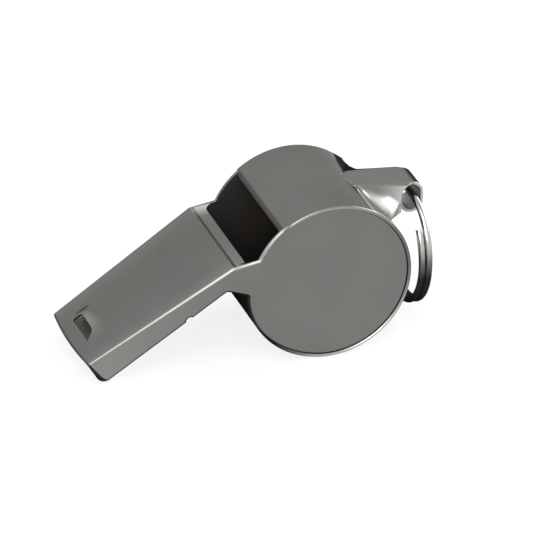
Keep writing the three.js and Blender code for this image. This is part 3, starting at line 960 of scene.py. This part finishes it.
def lug_surface(profile, lug):
    """The lug as a closed body with its painted light and matt: foot flange, hood and rolled eye in one
    sheet.

    Rows run from the flange's feathered edge over the foot line to the wings' free edges. Columns run
    from the near foot over the near wing, the roof and the far wing. Each fold between wing and
    roof is a quadratic curve. The eye continues the roof's columns round a circle that is drawn out
    downwards and comes back up to the roof. Painted highlights brighten the free edges, the wings'
    lower edges, the near foot line, the near wing towards the eye and the inside of the eye. Painted
    shade darkens the far wing, the far side of the foot, the roof's end, the back of the roll and the
    inside of the hood. The inner face is matt.
    """
    painted = bpy.context.scene.whistle_wear
    seat = profile.radius + profile.shell.seam + lug.sheet
    eye = polar(profile.radius + lug.standoff, lug.eye_angle)
    roll = lug.bore / 2 + lug.sheet
    roof_foot = polar(seat, lug.foot)
    to_eye = eye - roof_foot
    roof_turn = turn_of(to_eye) + math.asin(roll / np.linalg.norm(to_eye))
    roof_along = polar(1.0, roof_turn)
    eye_top = eye + polar(roll, roof_turn + math.pi / 2)
    roof_end = eye_top - lug.setback * roof_along
    low_end = roof_end + polar(lug.depth, roof_turn - math.pi / 2)

    u = np.concatenate([[0], np.linspace(0.035, 0.96, HOOD_ROWS), [1]])[:, None]
    half = blend(lug.foot_width, lug.neck_width, u) / 2
    top = blend(roof_foot, roof_end, u)
    corner = np.concatenate([top[:, :1], half, top[:, 1:]], axis=1)
    low = blend(polar(profile.radius + lug.edge, lug.rim_foot), low_end, u)
    low = low - polar(lug.sag, lug.rim_foot) * np.sin(math.pi * np.sqrt(u))
    low_half = blend(profile.half - lug.edge, lug.low_width / 2, u)
    foot = np.concatenate([low[:, :1], low_half, low[:, 1:]], axis=1)
    soft = blend(lug.fold, (lug.neck_width - lug.eye_width) / 2, u)
    crown = corner - np.array([0, 1.0, 0]) * soft
    down = foot - corner
    flank = corner + down * (soft / np.linalg.norm(down, axis=1, keepdims=True))

    v = np.insert(1 - np.linspace(0.98, 0, 14) ** 1.5, 0, 0)[:, None, None]
    wing = blend(foot, flank, v)
    out = np.cross(foot[-1] - corner[-1], foot[0] - corner[0])
    out = out / np.linalg.norm(out) * np.sign(out[1])
    wing = wing - lug.hollow * 4 * v * (1 - v) * np.sin(math.pi * np.sqrt(u)) * out
    t = np.linspace(0, 1, 7)[1:, None, None]
    fold = flank * (1 - t) ** 2 + corner * 2 * t * (1 - t) + crown * t ** 2
    flip = np.array([1, -1, 1])
    middle = crown * np.array([1, 0, 1])
    inner = [middle + (crown - middle) * part for part in (0.88, 0.45)]
    right = np.concatenate([wing, fold, inner])
    hood = np.concatenate([right * flip, middle[None], right[::-1]]).transpose(1, 0, 2)
    columns = hood.shape[1]
    below = (roof_end - hood[-1][:, [0, 2]]) @ polar(1.0, roof_turn + math.pi / 2)
    beside = 1 - np.sqrt(1 - (1 - np.clip(below / roll, 0, 1)) ** 2)
    reach = lug.setback * beside * u ** 2
    hood = hood + reach[..., None] * np.array([roof_along[0], 0, roof_along[1]])

    foot_row = hood[0]
    foot_turn = np.arctan2(foot_row[:, 2], foot_row[:, 0])
    rise = np.array(FLANGE_ROWS)[:, None]
    tongue = np.clip(1 - (foot_row[:, 1] / (lug.foot_width / 2)) ** 2, 0, 1)
    flange_turn = blend(foot_turn, lug.flange + lug.tongue * tongue, rise)
    flange_y = np.broadcast_to(foot_row[:, 1], flange_turn.shape)
    proud = np.clip(-(foot_row[:, 1] + lug.foot_width / 2) / MM, 0, 1)
    upper = profile.radius + blend(-lug.sunk, lug.feather, proud)
    flange_radius = blend(np.hypot(foot_row[:, 0], foot_row[:, 2]), upper, rise)
    arched = flange_radius[..., None] * polar(1.0, flange_turn)
    flange = np.stack([arched[..., 0], flange_y, arched[..., 1]], axis=-1)
    sheet = np.concatenate([flange, hood])
    sheet_numbers = np.arange(len(sheet) * columns).reshape(-1, columns)

    edge = len(wing) + len(fold) - 1
    roof_columns = slice(edge, columns - edge)
    level = -profile.tilt
    low_eye = eye + polar(lug.tail, level - math.pi / 2)
    rest = polar(lug.bore / 2 - lug.edge, level + math.pi / 2)
    curl = joined(
        arc(eye, roll, roof_turn + math.pi / 2, level, CURL_STEPS),
        arc(low_eye, roll, level, level - math.pi, CURL_STEPS),
        line(low_eye + polar(roll, level - math.pi), eye + polar(roll, level - math.pi) + rest, 4),
    )[1:]
    y = np.tile(hood[-1, roof_columns, 1], (len(curl), 1))
    tube = np.stack(np.broadcast_arrays(curl[:, :1], y, curl[:, 1:]), axis=-1)
    tube_numbers = np.arange(y.size).reshape(y.shape) + sheet_numbers.size
    tube_numbers = np.concatenate([sheet_numbers[-1:, roof_columns], tube_numbers])
    quads = np.concatenate([numbered_quads(sheet_numbers), numbered_quads(tube_numbers)])
    points = np.concatenate([sheet.reshape(-1, 3), tube.reshape(-1, 3)])

    near = foot_row[:, 1] < -lug.foot_width / 2
    far = foot_row[:, 1] > (lug.foot_width - lug.sheet) / 2
    # Painted highlights on the near wing and the free edges, painted shade on the far wing, the far foot
    # and the roof's end
    hood_painted_light = np.where(near, blend(painted.wing_foot, painted.wing_neck, u ** 2), 0)
    hood_painted_light = np.where(far, blend(painted.far_foot, painted.far_neck, u ** 2), hood_painted_light)
    hood_painted_light[0] = np.where(near, painted.free_edges, hood_painted_light[0])
    hood_painted_light[-1] = painted.free_edges
    hood_painted_light[-1, roof_columns] = painted.roof_end
    hood_painted_light[:, [0, -1]] = painted.low_edges
    flange_painted_light = np.where(far, painted.far_flange * (1 - rise ** 6), 0)
    flange_painted_light[:2] = np.where(near, painted.free_edges * proud, flange_painted_light[:2])
    # Painted shade along the back of the roll
    roll_painted_shade = [painted.roll_start, painted.roll, painted.roll, 0]
    tube_painted_light = np.zeros(y.shape)
    tube_painted_light[:CURL_STEPS] = np.interp(np.arange(CURL_STEPS), ROLL_ROWS, roll_painted_shade)[:, None]
    tube_painted_light[:, [0, -1]] = painted.free_edges
    body, faces = thick_body(points, quads, lug.sheet)
    rolled = np.arange(len(points)) >= sheet_numbers.size
    inner_painted_light = np.where(rolled, painted.eye_inside, painted.hood_inside)
    wear = np.concatenate([flange_painted_light.ravel(), hood_painted_light.ravel(), tube_painted_light.ravel(), inner_painted_light])
    matt = np.concatenate([np.zeros(len(points)), np.ones(len(points))])
    return body, faces, wear, matt


def ring_surface(ring):
    """The ring's wire and its painted light: a circle carried along two coils that a smooth step joins.

    The cut ends are rounded. Painted highlights brighten the wire beside the eye, and painted shade darkens
    it at the bottom.
    """
    turn = np.linspace(ring.end, 4 * math.pi - ring.end, 361)
    step = smooth((turn - 2 * math.pi + ring.step) / (2 * ring.step))
    mean = ring.mean / 2
    radial = np.stack([np.zeros_like(turn), -np.sin(turn), np.cos(turn)], axis=-1)
    middle = mean * radial + np.stack([
        (step - 0.5) * ring.pitch,
        np.zeros_like(turn),
        np.full_like(turn, -mean - ring.seat),
    ], axis=-1)
    along = np.gradient(middle, axis=0)
    along /= np.linalg.norm(along, axis=1, keepdims=True)
    aside = np.cross(along, radial)
    section = np.linspace(0, 2 * math.pi, 24, endpoint=False)
    rim = np.cos(section)[:, None] * radial[:, None] + np.sin(section)[:, None] * aside[:, None]
    radius = np.full(len(turn), ring.wire / 2)
    thinner = ring.burr * (1 - np.sqrt(1 - np.linspace(1, 0, END_RINGS) ** 2))
    radius[:END_RINGS] -= thinner
    radius[-END_RINGS:] -= thinner[::-1]
    shift = np.zeros(len(turn))
    spacing = np.linalg.norm(middle[1] - middle[0])
    closer = ring.burr * np.linspace(0, 1, END_RINGS) - spacing * np.arange(END_RINGS)
    shift[:END_RINGS] = closer
    shift[-END_RINGS:] = -closer[::-1]
    centre = middle + shift[:, None] * along
    points = centre[:, None] + rim * radius[:, None, None]
    quads = grid_quads(len(turn), len(section), around=True)
    first = list(range(len(section)))
    last = [number + (len(turn) - 1) * len(section) for number in first]
    # Painted highlight beside the eye, painted shade at the bottom
    painted_sheen_shade = np.interp(-np.cos(turn), *np.transpose(RING_PAINTED_LIGHT))
    wear = np.broadcast_to(painted_sheen_shade[:, None], points.shape[:2])
    return points + places["ring_swing"], [*quads.tolist(), first[::-1], last], wear


def pea_surface(profile, pea):
    """A ball by latitude and longitude, with low waves of sine along three slanted ways."""
    latitude = np.linspace(-math.pi / 2, math.pi / 2, 49)[:, None]
    longitude = np.linspace(0, 2 * math.pi, 97)[None, :-1]
    direction = np.stack(np.broadcast_arrays(
        np.cos(latitude) * np.cos(longitude),
        np.cos(latitude) * np.sin(longitude),
        np.sin(latitude),
    ), axis=-1)
    waves = np.array([[5, 2, 3], [-3, 7, 2], [2, -4, 9]])
    lumps = np.sin(direction @ waves.T + np.array([0.4, 1.7, 2.9])).mean(axis=-1, keepdims=True)
    radius = pea.diameter / 2 - pea.lump * (1 + lumps)
    orbit = profile.radius - profile.shell.sheet - pea.clearance - pea.diameter / 2
    centre = places["pea_roll"] - np.array([0, 0, orbit])
    quads = grid_quads(*direction.shape[:2], around=True)
    return centre + radius * direction, quads[:, ::-1]


# Operators

class WHISTLE_OT_barrel(Operator):
    """Builds the strip that is the barrel, the neck's bend and the windway's floor"""

    bl_idname = "whistle.barrel"
    bl_label = "Barrel Strip"

    def execute(self, context):
        shell = context.scene.whistle_shell
        profile = Profile(shell)
        surface, wear, matt = strip_surface(profile)
        quads = grid_quads(*wear.shape)
        made = mesh_object("barrel_band", to_part(surface, profile), quads, wear=wear, matt=matt)
        make_sheet(made, shell.sheet, shell.strip_edge)
        settle(made, metal("sheet_finish"), "whistle", "barrel_strip")
        return {"FINISHED"}


class WHISTLE_OT_side_plates(Operator):
    """Builds the two side plates with their cheeks, necks and walls"""

    bl_idname = "whistle.side_plates"
    bl_label = "Side Plates"

    def execute(self, context):
        shell = context.scene.whistle_shell
        profile = Profile(shell)
        for side, hand in ((-1, "left"), (1, "right")):
            points, faces, wear, matt = side_plate_surface(profile, side)
            made = mesh_object(f"{hand}_cheek_plate", to_part(points, profile), faces, wear=wear, matt=matt)
            flatten_shading(made)
            settle(made, metal("sheet_finish"), "whistle", f"side_plate_{hand}")
        return {"FINISHED"}


class WHISTLE_OT_top_plate(Operator):
    """Builds the mouthpiece's top plate with its bite grip and its bent edge"""

    bl_idname = "whistle.top_plate"
    bl_label = "Top Plate"

    def execute(self, context):
        shell = context.scene.whistle_shell
        profile = Profile(shell)
        points, quads, wear = top_plate_surface(profile)
        made = mesh_object("mouthpiece_plate", to_part(points, profile), quads, wear=wear)
        make_sheet(made, shell.sheet, shell.top_edge)
        settle(made, metal("sheet_finish"), "whistle", "mouthpiece_top")
        return {"FINISHED"}


class WHISTLE_OT_lug(Operator):
    """Builds the folded lug with its rolled eye"""

    bl_idname = "whistle.lug"
    bl_label = "Ring Lug"

    def execute(self, context):
        lug = context.scene.whistle_lug
        profile = Profile(context.scene.whistle_shell)
        points, faces, wear, matt = lug_surface(profile, lug)
        made = mesh_object("lug_hood", to_part(points, profile), faces, wear=wear, matt=matt)
        round_edges(made, lug.edge)
        settle(made, metal("lug_finish"), "whistle", "ring_lug")
        return {"FINISHED"}


class WHISTLE_OT_ring(Operator):
    """Builds the split ring in the eye"""

    bl_idname = "whistle.ring"
    bl_label = "Split Ring"

    def execute(self, context):
        points, faces, wear = ring_surface(context.scene.whistle_ring)
        made = mesh_object("ring_coils", points, faces, wear=wear)
        settle(made, metal("wire_finish"), "ring", "split_ring")
        return {"FINISHED"}


class WHISTLE_OT_pea(Operator):
    """Builds the cork ball in the barrel"""

    bl_idname = "whistle.pea"
    bl_label = "Cork Pea"

    def execute(self, context):
        profile = Profile(context.scene.whistle_shell)
        points, quads = pea_surface(profile, context.scene.whistle_pea)
        made = mesh_object("cork_ball", points, quads)
        settle(made, ground_cork("cork_finish"), "pea", "pea")
        return {"FINISHED"}


def seen_directly(shader):
    """1 for what the camera sees, directly or in metal or glass, and 0 for light on the object."""
    paths = shader.node("ShaderNodeLightPath")
    seen = [Socket(shader, paths.outputs[name])
            for name in ("Is Camera Ray", "Is Glossy Ray", "Is Transmission Ray")]
    return seen[0].most(seen[1]).most(seen[2])


def make_floor(stage):
    """A plain pale table that is white where no shadow falls."""
    half = stage.floor_size / 2
    corners = np.array([[-half, -half, 0], [half, -half, 0], [half, half, 0], [-half, half, 0]])
    floor = mesh_object("table", corners, [[0, 1, 2, 3]])
    material = bpy.data.materials.new("table")
    shader = Shader(material)
    diffuse = shader.out("ShaderNodeBsdfDiffuse", None, {"Color": (*stage.floor_colour, 1)})
    glow = shader.out("ShaderNodeEmission", None, {"Strength": seen_directly(shader) * stage.floor_white})
    shader.finish(shader.out("ShaderNodeAddShader", None, {0: diffuse, 1: glow}))
    floor.data.materials.append(material)


def make_surroundings(stage):
    """White surroundings, dimmer as a light than as they are seen."""
    world = bpy.data.worlds.new("surroundings")
    bpy.context.scene.world = world
    shader = Shader(world)
    strength = seen_directly(shader) * (1 - stage.sky) + stage.sky
    white = shader.out("ShaderNodeBackground", None, {"Color": (1, 1, 1, 1), "Strength": strength})
    shader.finish(white, "ShaderNodeOutputWorld")


def make_lamp(name, reach, target):
    """A soft lamp that stands at a reach from the target and faces it."""
    direction, width, height, power = LAMPS[name]
    data = bpy.data.lights.new(name, "AREA")
    data.shape = "RECTANGLE"
    data.size = width
    data.size_y = height
    data.energy = power
    lamp = bpy.data.objects.new(name, data)
    away = Vector(direction).normalized()
    lamp.location = target + away * reach
    lamp.rotation_euler = away.to_track_quat("Z", "Y").to_euler()
    bpy.context.collection.objects.link(lamp)


def make_camera(stage, target):
    """The camera behind its azimuth and elevation, turned by its roll."""
    cosine = math.cos(stage.elevation)
    back = Vector((
        math.sin(stage.azimuth) * cosine, -math.cos(stage.azimuth) * cosine, math.sin(stage.elevation)))
    right = Vector((math.cos(stage.azimuth), math.sin(stage.azimuth), 0))
    up = back.cross(right)
    turned_right = right * math.cos(stage.roll) + up * math.sin(stage.roll)
    turned_up = up * math.cos(stage.roll) - right * math.sin(stage.roll)
    data = bpy.data.cameras.new("camera")
    data.sensor_width = stage.sensor / MM
    data.lens = stage.pixels_per_mm * stage.distance / MM * data.sensor_width / stage.image_width
    data.clip_end = 10
    camera = bpy.data.objects.new("camera", data)
    axes = Matrix((turned_right, turned_up, back)).transposed().to_4x4()
    camera.matrix_world = Matrix.Translation(target + back * stage.distance) @ axes
    bpy.context.collection.objects.link(camera)
    bpy.context.scene.camera = camera


class WHISTLE_OT_stage(Operator):
    """Builds the floor, the surroundings, the lamps and the camera"""

    bl_idname = "whistle.stage"
    bl_label = "Stage"

    def execute(self, context):
        stage = context.scene.whistle_stage
        target = Vector((stage.target_x, 0, stage.target_z))
        make_floor(stage)
        make_surroundings(stage)
        for name in LAMPS:
            make_lamp(name, stage.lamp_reach, target)
        make_camera(stage, target)
        context.scene.view_settings.view_transform = "Standard"
        return {"FINISHED"}


class WHISTLE_PT_panel(Panel):
    """Lists the whistle's pieces and their sizes"""

    bl_idname = "WHISTLE_PT_panel"
    bl_label = "Pea Whistle"
    bl_space_type = "VIEW_3D"
    bl_region_type = "UI"
    bl_category = "Whistle"

    def draw(self, context):
        for group in PROPERTY_GROUPS:
            box = self.layout.box()
            box.label(text=GROUP_LABELS[group])
            values = getattr(context.scene, group)
            for name in values.__annotations__:
                box.prop(values, name)
        for operator in OPERATORS:
            self.layout.operator(operator.bl_idname)


PROPERTY_GROUPS = {
    "whistle_shell": ShellSizes,
    "whistle_lug": LugSizes,
    "whistle_ring": RingSizes,
    "whistle_pea": PeaSizes,
    "whistle_finishes": Finishes,
    "whistle_wear": PaintedLightAmounts,
    "whistle_stage": StageSettings,
}
GROUP_LABELS = {
    "whistle_shell": "Body",
    "whistle_lug": "Ring lug",
    "whistle_ring": "Split ring",
    "whistle_pea": "Pea",
    "whistle_finishes": "Finishes",
    # The Wear group holds the painted highlights and painted shade
    "whistle_wear": "Wear",
    "whistle_stage": "Stage",
}
OPERATORS = (
    WHISTLE_OT_stage,
    WHISTLE_OT_barrel,
    WHISTLE_OT_side_plates,
    WHISTLE_OT_top_plate,
    WHISTLE_OT_lug,
    WHISTLE_OT_ring,
    WHISTLE_OT_pea,
)
CLASSES = (*PROPERTY_GROUPS.values(), *OPERATORS, WHISTLE_PT_panel)


def register():
    """Registers the classes and puts the property groups on the scene."""
    for each in CLASSES:
        bpy.utils.register_class(each)
    for name, group in PROPERTY_GROUPS.items():
        setattr(bpy.types.Scene, name, PointerProperty(type=group))


def unregister():
    """Takes away what register added."""
    for name in PROPERTY_GROUPS:
        delattr(bpy.types.Scene, name)
    for each in reversed(CLASSES):
        bpy.utils.unregister_class(each)


def main():
    """Registers the add-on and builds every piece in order."""
    register()
    bpy.ops.whistle.stage()
    bpy.ops.whistle.barrel()
    bpy.ops.whistle.side_plates()
    bpy.ops.whistle.top_plate()
    bpy.ops.whistle.lug()
    bpy.ops.whistle.ring()
    bpy.ops.whistle.pea()


if __name__ == "__main__":
    main()
